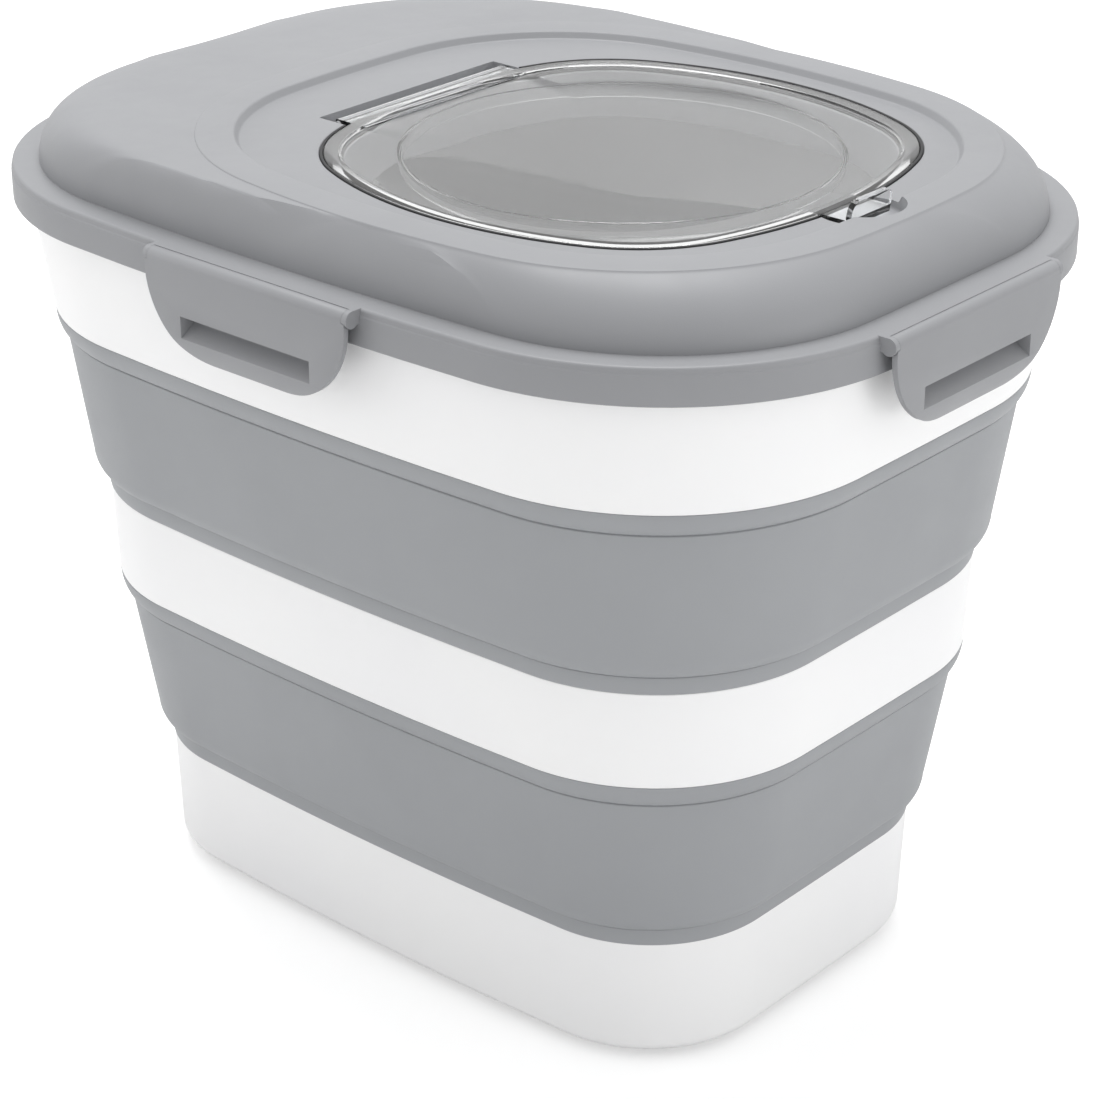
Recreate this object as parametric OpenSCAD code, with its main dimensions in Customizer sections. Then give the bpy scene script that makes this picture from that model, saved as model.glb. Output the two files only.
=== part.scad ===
// Collapsible rice bin with a domed lid, a clear flip window, four snap latches
// and four rollers. Millimetres, +Z up. The origin is on the floor, under the
// middle of the bin. The window's tab faces -Y, and its hinge is towards +Y.

/* [Rim] */
// Length of the lid's rim, front to back
rim_length = 400; // [370:5:430]
// Width of the lid's rim, side to side
rim_width = 296; // [270:2:320]
// Radius of the rim's corners seen from above
corner_radius = 105; // [95:1:115]
// Radius of the gentle bow of the long sides
side_bow = 1900; // [1200:50:3000]
// Radius of the gentle bow of the front and back
end_bow = 6000; // [3000:100:9000]

/* [Body heights] */
// Height of the whole bin, from the floor to the lid's flat ring; the two folding bands take what is over
bin_height = 330.7; // [316:0.1:351]
// How far the rollers stand out below the base
roller_drop = 4; // [3:0.5:6]
// Height of the white base tub
base_height = 50; // [42:1:60]
// Height of the white middle ring
middle_height = 39; // [32:1:46]
// Height of the white top ring, up to the lid's skirt
top_height = 45; // [38:1:52]
// How much taller the lower folding band is than the upper one
band_difference = 0.5; // [0:0.5:6]

/* [Body insets] */
// How far the top ring stands in from the lid's rim, at the skirt
top_inset = 6.3; // [6.1:0.1:7.5]
// How much the top ring draws in, top to bottom
top_draft = 6.9; // [5:0.1:8]
// How much the upper band draws in
upper_band_step = 17.3; // [15.5:0.1:20]
// How much the middle ring draws in
middle_draft = 1.6; // [1:0.1:3]
// How much the lower band draws in
lower_band_step = 18.5; // [16:0.1:21]
// How much the base tub draws in
base_draft = 1.7; // [1:0.1:3]
// Wall of the hard rings and the tub
wall = 2.6; // [2:0.1:3.2]
// Floor of the tub
floor_wall = 3; // [2.2:0.1:4]
// Radius of the tub's lower outside edge
base_edge = 5; // [3:0.5:7]

/* [Folding bands] */
// Wall of the soft bands
band_wall = 2.2; // [1.8:0.1:2.6]
// Height of the rolled lip at a band's top
lip_height = 9.5; // [7:0.5:12]
// How far that lip draws in
lip_step = 3.9; // [3:0.1:5]
// Height of the rolled lip at a band's foot
foot_height = 12.5; // [9:0.5:15]
// How far the foot draws in
foot_step = 6; // [4.5:0.1:7]
// Depth of the fold grooves between lips and wall
groove_depth = 0.6; // [0.3:0.1:1]
// Height of a fold groove
groove_height = 1.6; // [1:0.1:2.5]

/* [Lid] */
// Height of the skirt around the lid
skirt_height = 14; // [13:0.5:17]
// Width of the flat ledge outside the dome
ledge_width = 11; // [10.5:0.5:14]
// Rise from the ledge to the flat ring
dome_rise = 23.2; // [18:0.2:30]
// Length over which the dome's shoulder rounds off
shoulder = 34; // [24:1:48]
// Wall of the lid
lid_wall = 2.5; // [2:0.1:3]
// Width of the flat ring's outline
plateau_width = 260; // [240:2:264]
// Length of the flat ring's outline
plateau_length = 286; // [270:2:300]
// Corner radius of the flat ring's outline
plateau_corner = 98; // [88:1:104]
// Bow radius of the flat ring's sides
plateau_side_bow = 400; // [300:10:700]
// Bow radius of the flat ring's ends
plateau_end_bow = 600; // [400:10:900]
// How far the flat ring sits towards the front
plateau_shift = 32; // [26:1:36]
// Width of the flat ring's band
ring_band = 14.5; // [10:0.5:16]
// Depth of the deck inside that ring
deck_depth = 3; // [2:0.1:4]

/* [Window] */
// Width of the window's recess
window_width = 210; // [196:1:214]
// Length of the window's recess
window_length = 206; // [196:1:210]
// Corner radius of the recess
window_corner = 60; // [50:1:75]
// Bow radius of the recess's sides
window_side_bow = 150; // [130:5:220]
// Bow radius of the recess's ends
window_end_bow = 170; // [140:5:240]
// How far the window sits towards the front
window_shift = 44.5; // [43:0.5:46]
// Depth of the recess the window lies in
recess_depth = 3.2; // [2.9:0.1:3.8]
// Width of the shelf around the throat
shelf_width = 9.5; // [9:0.5:14]
// Depth of the throat's collar below that shelf
collar_depth = 19; // [10:1:26]
// Gap around the window, filled by its seal
window_gap = 1.4; // [1.2:0.1:1.8]
// Thickness of the window's raised border
window_border = 2.4; // [2:0.1:2.6]
// Width of that border
border_width = 5.8; // [4:0.2:7]
// How far the clear panel lies below the border's top
panel_drop = 0.8; // [0.4:0.1:1]
// Radius of the round rib under the panel
rib_radius = 83.5; // [70:0.5:86]
// Depth of that rib
rib_depth = 5; // [3:0.5:7]
// Thickness of that rib
rib_wall = 1.6; // [1:0.1:2.4]
// Thickness of the seal's flange
seal_flange = 0.7; // [0.5:0.1:0.7]
// Height of the seal's upstand around the window
seal_upstand = 2.5; // [1.5:0.1:2.8]

/* [Window hinge and tab] */
// Length of the window's hinge bar
bar_length = 93; // [80:1:94]
// Length of the slot that the bar turns in
slot_length = 99; // [97:1:104]
// Distance from the recess's back edge to the slot's back wall
slot_back = 6; // [5:0.5:8]
// Radius of the round back edge of the bar
barrel_radius = 1.9; // [1.7:0.1:2]
// Radius of the hinge's stub pins
pin_radius = 1.4; // [1.1:0.1:1.6]
// Length of each stub pin past the bar
pin_length = 4.6; // [4.2:0.1:5]
// Radial play of the stub pins
pin_play = 0.06; // [0.02:0.01:0.1]
// Width of the lift tab
tab_width = 25; // [20:1:30]
// How far the tab reaches out from the recess
tab_reach = 9.6; // [8:0.2:11]
// Height of the tab's upright lip above its foot
tab_lip = 9.4; // [6:0.2:12]
// Thickness of the upright lip
lip_wall = 2.2; // [1.6:0.1:3]
// Radius of the finger recess in front of the tab
finger_radius = 16.2; // [15:0.2:18]
// Angle at which the lift tab's lip leans out
tab_lean = 9.5; // [0:0.5:14]

/* [Latches] */
// Width of a latch
latch_width = 100; // [90:1:108]
// Thickness of a latch
latch_wall = 2.2; // [1.8:0.1:2.6]
// How far a latch's face stands out from the rim
latch_proud = 5.8; // [5.6:0.1:6.4]
// Radius of the round top that a latch turns on
roll_radius = 3.2; // [2.8:0.1:3.4]
// Play between that round top and its groove in the lid
roll_play = 0.2; // [0.1:0.05:0.3]
// How far a latch hangs below the skirt
latch_drop = 24.2; // [22:0.2:26]
// Radius of a latch's lower corners seen from outside
latch_corner = 32; // [24:1:34]
// Radius of the curved lower edge
curl_radius = 18; // [12:0.5:24]
// Angle that this edge curves through
curl_angle = 27; // [15:1:35]
// Width of the pocket in a latch's face
pocket_width = 65; // [50:1:70]
// Height of the pocket
pocket_height = 8.4; // [7:0.2:9]
// Top of the pocket below the skirt's lower edge
pocket_top = 8.2; // [8:0.1:9]
// Depth of the pocket
pocket_depth = 6.8; // [5:0.2:7]
// Wall of the catch behind the pocket
catch_wall = 1.3; // [1:0.1:1.6]
// Gap between a catch and its bead on the top ring
catch_play = 0.3; // [0.2:0.05:0.6]

/* [Rollers] */
// Diameter of a roller
roller_diameter = 25; // [22:0.5:28]
// Width of a roller
roller_width = 17; // [14:0.5:19]
// Diameter of a roller's stub axles
stub_diameter = 10.8; // [9:0.2:12]
// Length of a stub axle
stub_length = 4.2; // [3.5:0.1:5.5]
// Radial play of the stub axles
stub_play = 0.06; // [0.02:0.01:0.1]
// Play around a roller in its pocket
roller_play = 1.3; // [1:0.1:2]
// Sideways play of a roller
end_play = 0.6; // [0.4:0.1:1]
// Distance of a roller's middle from the rim's side
roller_side = 88; // [84:1:98]
// Distance of a roller's middle from the rim's end
roller_end = 94; // [90:1:110]
// Wall of a roller's housing
housing_wall = 2.2; // [1.8:0.1:2.6]

/* [Hidden] */

white = "#f2f2f2";
lid_grey = "#a3a4a6";
band_grey = "#8f9295";
clear = "#dfe6e8";
black = "#1c1c1e";

quarter_steps = 16;
dome_steps = 7;
inner_dome_steps = 4;
lip_steps = 3;
edge_steps = 4;
round_fn = 64;
eps = 0.01;

// Heights, from the floor up
body_height = bin_height - roller_drop - skirt_height - dome_rise;
band_space = body_height - base_height - middle_height - top_height;
lower_band_height = (band_space + band_difference) / 2;
upper_band_height = (band_space - band_difference) / 2;
base_z = roller_drop;
base_top_z = base_z + base_height;
middle_z = base_top_z + lower_band_height;
middle_top_z = middle_z + middle_height;
top_z = middle_top_z + upper_band_height;
skirt_z = top_z + top_height;
ledge_z = skirt_z + skirt_height;
ring_z = ledge_z + dome_rise;
deck_z = ring_z - deck_depth;
shelf_z = deck_z - recess_depth;
roller_z = roller_diameter / 2;
roller_x = rim_width / 2 - roller_side;
roller_y = rim_length / 2 - roller_end;

// Insets from the rim's outline
top_foot_inset = top_inset + top_draft;
middle_inset = top_foot_inset + upper_band_step;
middle_foot_inset = middle_inset + middle_draft;
base_inset = middle_foot_inset + lower_band_step;
base_foot_inset = base_inset + base_draft;

// Fits between the lid, its seal and the top ring
skirt_edge = 2.6;
channel_width = 7.1;
seal_thickness = 1.9;
seal_side_play = 0.2;
seal_squeeze_gap = 0.3;
channel_rib = 1.8;
channel_rib_z = skirt_z + 5.5;
flange_thickness = 2.8;
flange_play = 0.6;
channel_inset = lid_wall + channel_width;
ledge_under_z = ledge_z - lid_wall;
seal_z = ledge_under_z - seal_thickness;
flange_z = seal_z - seal_squeeze_gap;

// Latch hinge, measured outwards from the rim and up from the skirt's lower edge
pivot_out = latch_proud - roll_radius;
latch_pivot = skirt_height - roll_radius;
pivot_z = skirt_z + latch_pivot;
catch_tip_out = latch_proud - pocket_depth - catch_wall;
catch_top_z = skirt_z - pocket_top + catch_wall;
flap_reach = 16;
flap_over = 1;
bead_height = 4.2;
bead_drop = 0.7;
lug_width = 2.2;
lug_proud = 1;
lug_skin = 0.5;
lug_gap = 0.15;
stub_radius = 1.2;
stub_fit = 0.05;
groove_lip = 1.2;
roll_length = latch_width + 2 * (lug_proud - lug_width - lug_gap);
lug_end = latch_width / 2 + lug_proud;

// Edges of the lid's ring, step and deck
ring_edge = 0.9;
ring_edge_drop = 0.5;
step_slope = 1.8;
under_slope = 3;
deck_edge = 0.4;

// Reach of a cutter past what it cuts
cutter = 20;

// Window hinge and tab
hinge_set = 1.5;
tab_overlap = 6;
tab_drop = 0.2;
window_stand = 0.2;
hinge_lift = 0.4;
slot_play = 1.6;
slot_under = 3.4;
finger_set = 3.9;
back_y = window_length / 2 - window_shift;
front_y = -window_length / 2 - window_shift;
hinge_y = back_y - hinge_set;
window_top_z = deck_z + window_stand;
border_under_z = window_top_z - window_border;
hinge_z = border_under_z + hinge_lift;
slot_y = back_y + slot_back;
slot_front_y = hinge_y - barrel_radius - slot_play;
slot_floor_z = hinge_z - slot_under;
bar_back = 1.6;
bar_front = 13;
slot_wall = 3.6;
tab_y = front_y - tab_reach;
finger_y = tab_y + finger_set;
seal_cut = 2.4;
seal_gap = 0.4;

// A plan outline is four bowed sides joined by corner arcs, all tangent:
// [half width, half length, corner r, side bow, end bow, y, corner x, corner y, side angle, end angle]
function outline(a, b, r, side, end, y) =
    let (s = [a - side, 0],
         e = [0, b - end],
         span = norm(e - s),
         along = (e - s) / span,
         t = (pow(side - r, 2) - pow(end - r, 2) + span * span) / (2 * span),
         h = sqrt(pow(side - r, 2) - t * t),
         c = s + t * along + h * [-along.y, along.x])
    [a, b, r, side, end, y, c.x, c.y, atan2(c.y, c.x - s.x), atan2(c.x, c.y - e.y)];

// The point of an outline, drawn in by d, whose outward direction is at angle w
function outline_point(p, d, w) =
    let (m = atan2(abs(sin(w)), abs(cos(w))),
         on_side = m <= p[8],
         on_end = m >= 90 - p[9],
         c = on_side ? [p[0] - p[3], 0] : on_end ? [0, p[1] - p[4]] : [p[6], p[7]],
         r = (on_side ? p[3] : on_end ? p[4] : p[2]) - d)
    [sign(cos(w)) * (c.x + r * cos(m)), sign(sin(w)) * (c.y + r * sin(m)) + p[5]];

// Outward directions, closer together where the outlines run straight
function ease(t) = 90 * t * t * (3 - 2 * t);
directions = [for (q = [0:3], k = [0:quarter_steps - 1]) 90 * q + ease(k / quarter_steps)];

function ring(p, d, z) = [for (w = directions) concat(outline_point(p, d, w), z)];
function mix(a, b, t) = a * (1 - t) + b * t;

rim = outline(rim_width / 2, rim_length / 2, corner_radius, side_bow, end_bow, 0);
plateau = outline(plateau_width / 2, plateau_length / 2, plateau_corner,
                  plateau_side_bow, plateau_end_bow, -plateau_shift);
recess = outline(window_width / 2, window_length / 2, window_corner,
                 window_side_bow, window_end_bow, -window_shift);

// Skin between rings: each quad is two triangles
function skin_faces(count, n, closed) =
    [for (i = [0:count - (closed ? 1 : 2)], j = [0:n - 1])
        let (k = (j + 1) % n, i2 = (i + 1) % count)
        each [[i * n + j, i * n + k, i2 * n + k], [i * n + j, i2 * n + k, i2 * n + j]]];

// A skin closed on itself: rings run down the outside and up the inside
module band(rings) {
    n = len(rings[0]);
    polyhedron([for (r = rings) each r], skin_faces(len(rings), n, true), convexity = 8);
}

// A section of [inset, height] corners swept all the way round an outline
module swept(p, section) {
    band([for (q = section) ring(p, q[0], q[1])]);
}

// A cup or plate: the section runs from the middle of its inside round to that of its outside
module cup(p, section) {
    n = len(directions);
    last = (len(section) - 1) * n;
    caps = [[for (j = [n - 1:-1:0]) j], [for (j = [0:n - 1]) last + j]];
    polyhedron([for (q = section) each ring(p, q[0], q[1])],
               concat(skin_faces(len(section), n, false), caps), convexity = 8);
}

// A plan slab between two heights, drawn in by d
module slab(p, d, z0, z1) {
    translate([0, 0, z0])
        linear_extrude(z1 - z0)
            polygon([for (w = directions) outline_point(p, d, w)]);
}

// ---- base tub and its roller housings ----

module at_rollers() {
    for (x = [-roller_x, roller_x], y = [-roller_y, roller_y])
        translate([x, y, 0]) children();
}

// A rod along X through the roller's axis
module x_rod(r, length) {
    rotate([0, 90, 0]) cylinder(r = r, h = length, center = true, $fn = round_fn);
}

roller_gap = roller_diameter / 2 + roller_play;
pocket_x = roller_width + 2 * end_play;
seat_x = roller_width + 2 * stub_length + 2 * end_play;
seat_radius = stub_diameter / 2 + stub_play;
mouth_width = stub_diameter - 0.5;

module roller_housing() {
    w = 2 * housing_wall;
    top = roller_z + roller_gap + housing_wall;
    translate([-pocket_x / 2 - housing_wall, -roller_gap - housing_wall, base_z + eps])
        cube([pocket_x + w, 2 * roller_gap + w, top - base_z - eps]);
    translate([-seat_x / 2 - housing_wall, -seat_radius - housing_wall, base_z + eps])
        cube([seat_x + w, 2 * seat_radius + w, roller_z + seat_radius + housing_wall - base_z]);
}

module roller_pocket() {
    translate([-pocket_x / 2, -roller_gap, base_z - 1])
        cube([pocket_x, 2 * roller_gap, roller_z + roller_gap - base_z + 1]);
    translate([0, 0, roller_z]) x_rod(seat_radius, seat_x);
    translate([-seat_x / 2, -mouth_width / 2, base_z - 1])
        cube([seat_x, mouth_width, roller_z - base_z + 1]);
}

module base_tub() {
    inside = base_foot_inset + wall;
    color(white)
    difference() {
        union() {
            cup(rim, concat(
                [[inside + base_edge / 2, base_z + floor_wall],
                 [inside, base_z + floor_wall + base_edge / 2],
                 [base_inset + wall, base_top_z],
                 [base_inset, base_top_z]],
                [for (k = [0:edge_steps])
                    let (a = 90 * k / edge_steps)
                    [base_foot_inset + base_edge * (1 - cos(a)), base_z + base_edge * (1 - sin(a))]]));
            at_rollers() roller_housing();
        }
        at_rollers() roller_pocket();
    }
}

// ---- soft bands ----

// Section of a band's outside as [inset, height above the foot], top to foot
function band_outside(step, height) =
    let (wall_top = height - lip_height - groove_height,
         wall_foot = foot_height + groove_height,
         draft = step - lip_step - foot_step)
    concat(
        [for (k = [0:lip_steps])
            let (a = 90 * k / lip_steps)
            [lip_step * (1 - cos(a)), height - lip_height * sin(a)]],
        [[lip_step + groove_depth, height - lip_height - groove_height / 2],
         [lip_step, wall_top],
         [lip_step + draft, wall_foot],
         [lip_step + draft + groove_depth, foot_height + groove_height / 2],
         [lip_step + draft, foot_height],
         [lip_step + draft + 0.3 * foot_step, 0.75 * foot_height],
         [step, 0]]);

// And of its inside, foot to top
function band_inside(step, height) =
    let (draft = step - lip_step - foot_step)
    [[step + band_wall, 0],
     [lip_step + draft + 0.3 * foot_step + band_wall, 0.75 * foot_height],
     [lip_step + draft + groove_depth + band_wall, foot_height + groove_height / 2],
     [lip_step + groove_depth + band_wall, height - lip_height - groove_height],
     [0.4 * lip_step + band_wall, height - 0.6 * lip_height],
     [band_wall, height]];

module bellows(inset, z, step, height) {
    color(band_grey)
    swept(rim, [for (q = concat(band_outside(step, height), band_inside(step, height)))
        [inset + q[0], z + q[1]]]);
}

module lower_bellows() {
    bellows(middle_foot_inset, base_top_z, lower_band_step, lower_band_height);
}

module upper_bellows() {
    bellows(top_foot_inset, middle_top_z, upper_band_step, upper_band_height);
}

// ---- hard rings ----

module middle_ring() {
    color(white)
    swept(rim, [[middle_inset, middle_top_z],
                [middle_foot_inset, middle_z],
                [middle_foot_inset + wall, middle_z],
                [middle_inset + wall, middle_top_z]]);
}

// The bead under the skirt that a latch's catch closes below, outwards along +X
module catch_bead() {
    inner = top_inset + 1.6;
    outer = -catch_tip_out + catch_play;
    translate([-inner, -pocket_width / 2 - 1, catch_top_z + bead_drop])
        cube([inner - outer, pocket_width + 2, bead_height]);
}

module at_sides() {
    translate([rim_width / 2, 0, 0]) children();
    translate([0, rim_length / 2, 0]) rotate(90) children();
    translate([-rim_width / 2, 0, 0]) rotate(180) children();
    translate([0, -rim_length / 2, 0]) rotate(-90) children();
}

module top_ring() {
    neck = top_inset - 0.6;
    flange_out = lid_wall + flange_play;
    flange_in = channel_inset - flange_play;
    under = flange_z - flange_thickness;
    color(white)
    union() {
        swept(rim, [[flange_out, flange_z],
                    [flange_out, under],
                    [neck, under],
                    [top_inset, skirt_z],
                    [top_foot_inset, top_z],
                    [top_foot_inset + wall, top_z],
                    [top_inset + wall, skirt_z],
                    [neck + wall, under],
                    [flange_in, under + 0.4],
                    [flange_in, flange_z]]);
        at_sides() catch_bead();
    }
}

// ---- lid ----

// Height of the dome's curve at a distance u in from its foot
function shoulder_curve(u) = sqrt(1 - pow(1 - min(u / shoulder, 1), 2));

// A ring part way up the dome: t is 0 at the foot and 1 at the flat ring
function dome_ring(foot_inset, foot_z, top_inset, top_z, t) =
    let (foot = ring(rim, foot_inset, foot_z),
         top = ring(plateau, top_inset, top_z))
    [for (i = [0:len(foot) - 1])
        let (reach = norm([top[i].x - foot[i].x, top[i].y - foot[i].y]),
             lift = shoulder_curve(t * reach) / shoulder_curve(reach),
             p = mix(foot[i], top[i], t))
        [p.x, p.y, mix(foot_z, top_z, lift)]];

// The lid's section from the collar's foot up over the deck, down the dome and
// skirt, and back along the underside
lid_rings = concat(
    // Shelf, recess wall, deck, step and flat ring
    [ring(recess, shelf_width, shelf_z),
     ring(recess, 0, shelf_z),
     ring(recess, 0, deck_z - deck_edge),
     ring(recess, -deck_edge, deck_z),
     ring(plateau, ring_band + step_slope, deck_z),
     ring(plateau, ring_band, ring_z - ring_edge_drop),
     ring(plateau, ring_band - ring_edge, ring_z),
     ring(plateau, ring_edge, ring_z),
     ring(plateau, 0, ring_z - ring_edge_drop)],
    // Dome down to the ledge
    [for (k = [dome_steps - 1:-1:0])
        dome_ring(ledge_width, ledge_z, 0, ring_z - ring_edge_drop, 1 - cos(90 * k / dome_steps))],
    // Ledge and skirt
    [ring(rim, skirt_edge, ledge_z),
     ring(rim, skirt_edge * 0.3, ledge_z - skirt_edge * 0.3),
     ring(rim, 0, ledge_z - skirt_edge),
     ring(rim, 0, skirt_z),
     ring(rim, lid_wall, skirt_z),
     ring(rim, lid_wall, ledge_under_z),
     ring(rim, channel_inset, ledge_under_z),
     ring(rim, channel_inset, channel_rib_z),
     ring(rim, channel_inset + channel_rib, channel_rib_z),
     ring(rim, channel_inset + channel_rib, ledge_under_z)],
    // Inside of the dome
    [for (k = [0:inner_dome_steps])
        dome_ring(ledge_width + lid_wall, ledge_under_z, lid_wall,
                  ring_z - lid_wall - ring_edge_drop, 1 - cos(90 * k / inner_dome_steps))],
    // Underside of the deck, shelf and collar
    [ring(plateau, ring_band, ring_z - lid_wall - ring_edge_drop),
     ring(plateau, ring_band + under_slope, deck_z - lid_wall),
     ring(recess, -lid_wall, deck_z - lid_wall),
     ring(recess, -lid_wall, shelf_z - lid_wall),
     ring(recess, shelf_width - lid_wall, shelf_z - lid_wall),
     ring(recess, shelf_width - lid_wall, shelf_z - collar_depth),
     ring(recess, shelf_width, shelf_z - collar_depth)]);

// Straight strip of the ledge above a latch, outwards along +X
module latch_strip() {
    translate([-ledge_width / 2, -lug_end, ledge_z - lid_wall])
        cube([ledge_width / 2 + groove_lip, 2 * lug_end, lid_wall]);
}

// Groove that a latch's round top turns in
module latch_groove() {
    translate([pivot_out, 0, pivot_z])
        rotate([90, 0, 0])
            cylinder(r = roll_radius + roll_play, h = roll_length + 2 * lug_gap, center = true,
                     $fn = round_fn);
}

// Lug beside each end of that round top, with the same outside
module latch_lug() {
    r = roll_radius;
    translate([0, lug_end, skirt_z])
        rotate([90, 0, 0])
            linear_extrude(lug_width) {
                translate([pivot_out, latch_pivot]) circle(r, $fn = round_fn);
                polygon([[-1.5, latch_pivot - r * sin(45) - 0.3],
                         [pivot_out - r * cos(45), latch_pivot - r * sin(45)],
                         [pivot_out, latch_pivot],
                         [pivot_out, skirt_height],
                         [-ledge_width / 2, skirt_height],
                         [-ledge_width / 2, skirt_height - lid_wall],
                         [-1.5, skirt_height - lid_wall]]);
            }
}

// Bores for the two stub pins of a latch
module latch_bores() {
    translate([pivot_out, 0, pivot_z])
        rotate([90, 0, 0])
            cylinder(r = stub_radius + stub_fit, h = 2 * (lug_end - lug_skin), center = true,
                     $fn = round_fn);
}

// Solid around the slot that the hinge bar turns in
module hinge_block() {
    translate([-slot_length / 2 - slot_wall, slot_front_y - 1, slot_floor_z - lid_wall])
        cube([slot_length + 2 * slot_wall, slot_y - slot_front_y + 1 + lid_wall,
              deck_z - slot_floor_z + lid_wall]);
}

module hinge_slot() {
    translate([-slot_length / 2, slot_front_y, slot_floor_z])
        cube([slot_length, slot_y - slot_front_y, cutter]);
    translate([-slot_length / 2, slot_front_y - bar_front, shelf_z])
        cube([slot_length, bar_front + 1, cutter]);
    translate([0, hinge_y, hinge_z])
        x_rod(pin_radius + pin_play, bar_length + 2 * pin_length + 0.6);
}

// Thicker deck and ring around the tab, and what is cut from them
module tab_block() {
    under = shelf_z - lid_wall;
    translate([0, finger_y, under])
        cylinder(r = finger_radius + 2, h = deck_z - under - 0.3, $fn = round_fn);
    difference() {
        translate([0, finger_y, under])
            cylinder(r = finger_radius + 2, h = ring_z - under - 1.3, $fn = round_fn);
        slab(plateau, ring_band + 0.4, under - 1, ring_z + 1);
    }
}

module tab_cut() {
    translate([0, finger_y, shelf_z])
        cylinder(r = finger_radius, h = cutter, $fn = round_fn);
}

module lid_shell() {
    color(lid_grey)
    difference() {
        union() {
            difference() {
                union() {
                    band(lid_rings);
                    at_sides() latch_strip();
                }
                at_sides() latch_groove();
            }
            at_sides() for (t = [0, 1]) mirror([0, t, 0]) latch_lug();
            hinge_block();
            difference() {
                tab_block();
                slab(recess, -0.5, shelf_z - cutter / 2, deck_z + cutter / 2);
            }
        }
        at_sides() latch_bores();
        hinge_slot();
        difference() {
            tab_cut();
            slab(recess, shelf_width - 0.5, shelf_z - cutter / 2, deck_z + cutter / 2);
        }
    }
}

module lid_seal() {
    out = lid_wall + seal_side_play;
    in = channel_inset - seal_side_play;
    lip = 0.8;
    color(black)
    swept(rim, [[out + lip, ledge_under_z],
                [out, ledge_under_z - lip],
                [out + lip, seal_z],
                [in - lip, seal_z],
                [in, ledge_under_z - lip],
                [in - lip, ledge_under_z]]);
}

// ---- window ----

module window_seal() {
    side = 0.1;
    upstand = window_gap - 0.5;
    flange_top = shelf_z + seal_flange;
    color(black)
    difference() {
        swept(recess, [[side + upstand, shelf_z + seal_upstand],
                       [side, shelf_z + seal_upstand - 0.3],
                       [side, shelf_z],
                       [shelf_width - 0.4, shelf_z],
                       [shelf_width - 0.4, flange_top],
                       [side + upstand, flange_top]]);
        translate([-slot_length / 2 - seal_gap, slot_front_y - 0.6, shelf_z - 1])
            cube([slot_length + 2 * seal_gap, 2 * cutter, cutter / 2]);
        translate([0, finger_y, shelf_z - 1])
            difference() {
                cylinder(r = finger_radius + 0.2, h = cutter / 2, $fn = round_fn);
                translate([-2 * finger_radius, front_y + seal_cut - finger_y, -1])
                    cube([4 * finger_radius, 3 * finger_radius, cutter]);
            }
        translate([-slot_length / 2 - seal_gap, slot_front_y - bar_front - seal_gap, flange_top])
            cube([slot_length + 2 * seal_gap, 3 * cutter, cutter / 2]);
    }
}

// Upright lip of the tab, its outline drawn in X and Z
module tab_lip_outline() {
    r = 4;
    half = tab_width / 2 - 0.6;
    square([2 * half, tab_lip - r]);
    translate([r, 0]) square([2 * half - 2 * r, tab_lip]);
    for (x = [r, 2 * half - r])
        translate([x, tab_lip - r]) circle(r, $fn = round_fn);
}

module flip_window() {
    panel_z = window_top_z - panel_drop;
    gap = window_gap;
    color(clear, 0.6)
    union() {
        cup(recess, [[gap + border_width + 0.8, panel_z],
                     [gap + border_width, window_top_z],
                     [gap + 0.5, window_top_z],
                     [gap, window_top_z - 0.5],
                     [gap, border_under_z]]);
        // Round rib under the panel
        translate([0, -window_shift, border_under_z - rib_depth])
            rotate_extrude($fn = 128)
                translate([rib_radius - rib_wall, 0])
                    square([rib_wall, rib_depth + 0.3]);
        // Hinge bar, its round back edge and its stub pins
        translate([-bar_length / 2, hinge_y - bar_front, border_under_z])
            cube([bar_length, bar_front + bar_back, window_border]);
        translate([0, hinge_y, hinge_z]) x_rod(barrel_radius, bar_length);
        translate([0, hinge_y, hinge_z]) x_rod(pin_radius, bar_length + 2 * pin_length);
        // Lift tab
        translate([-tab_width / 2, tab_y, border_under_z])
            cube([tab_width, tab_reach + tab_overlap, window_border - tab_drop]);
        translate([-tab_width / 2 + 0.6, tab_y + lip_wall, border_under_z])
            rotate([90 + tab_lean, 0, 0]) linear_extrude(lip_wall) tab_lip_outline();
    }
}

// ---- latches ----

// Section of a latch: x is outwards from the rim, y is height from the skirt's edge
module latch_section() {
    inner = latch_proud - latch_wall;
    curl_y = curl_radius * sin(curl_angle) - latch_drop;
    translate([pivot_out, latch_pivot]) circle(roll_radius, $fn = round_fn);
    polygon([[inner, curl_y], [latch_proud, curl_y], [latch_proud, latch_pivot], [inner, latch_pivot]]);
    intersection() {
        translate([latch_proud - curl_radius, curl_y])
            difference() {
                circle(curl_radius, $fn = 4 * round_fn);
                circle(curl_radius - latch_wall, $fn = 4 * round_fn);
            }
        translate([latch_proud - curl_radius, curl_y])
            polygon([[0, 0], [2 * curl_radius, 0],
                     [2 * curl_radius, -2 * curl_radius * tan(curl_angle)]]);
    }
}

// Face outline of a latch in Y and Z, from the hinge down
module latch_outline() {
    half = latch_width / 2;
    r = latch_corner;
    translate([-half, -latch_drop + r]) square([2 * half, skirt_height + 1 + latch_drop - r]);
    translate([-half + r, -latch_drop - 1]) square([2 * half - 2 * r, r + 2]);
    for (s = [-1, 1])
        translate([s * (half - r), -latch_drop + r]) circle(r, $fn = 128);
}

// Wedge behind the pocket; grow is the wall around it
module wedge_section(grow) {
    back = latch_proud - pocket_depth - grow;
    face = latch_proud + (grow > 0 ? -latch_wall / 2 : 1);
    top = -pocket_top + grow;
    foot = -pocket_top - pocket_height - grow;
    polygon([[face, top], [back, top], [back, top - 4 - grow],
             [face, foot - (grow > 0 ? -0.6 * grow : 0.7)]]);
}

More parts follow.
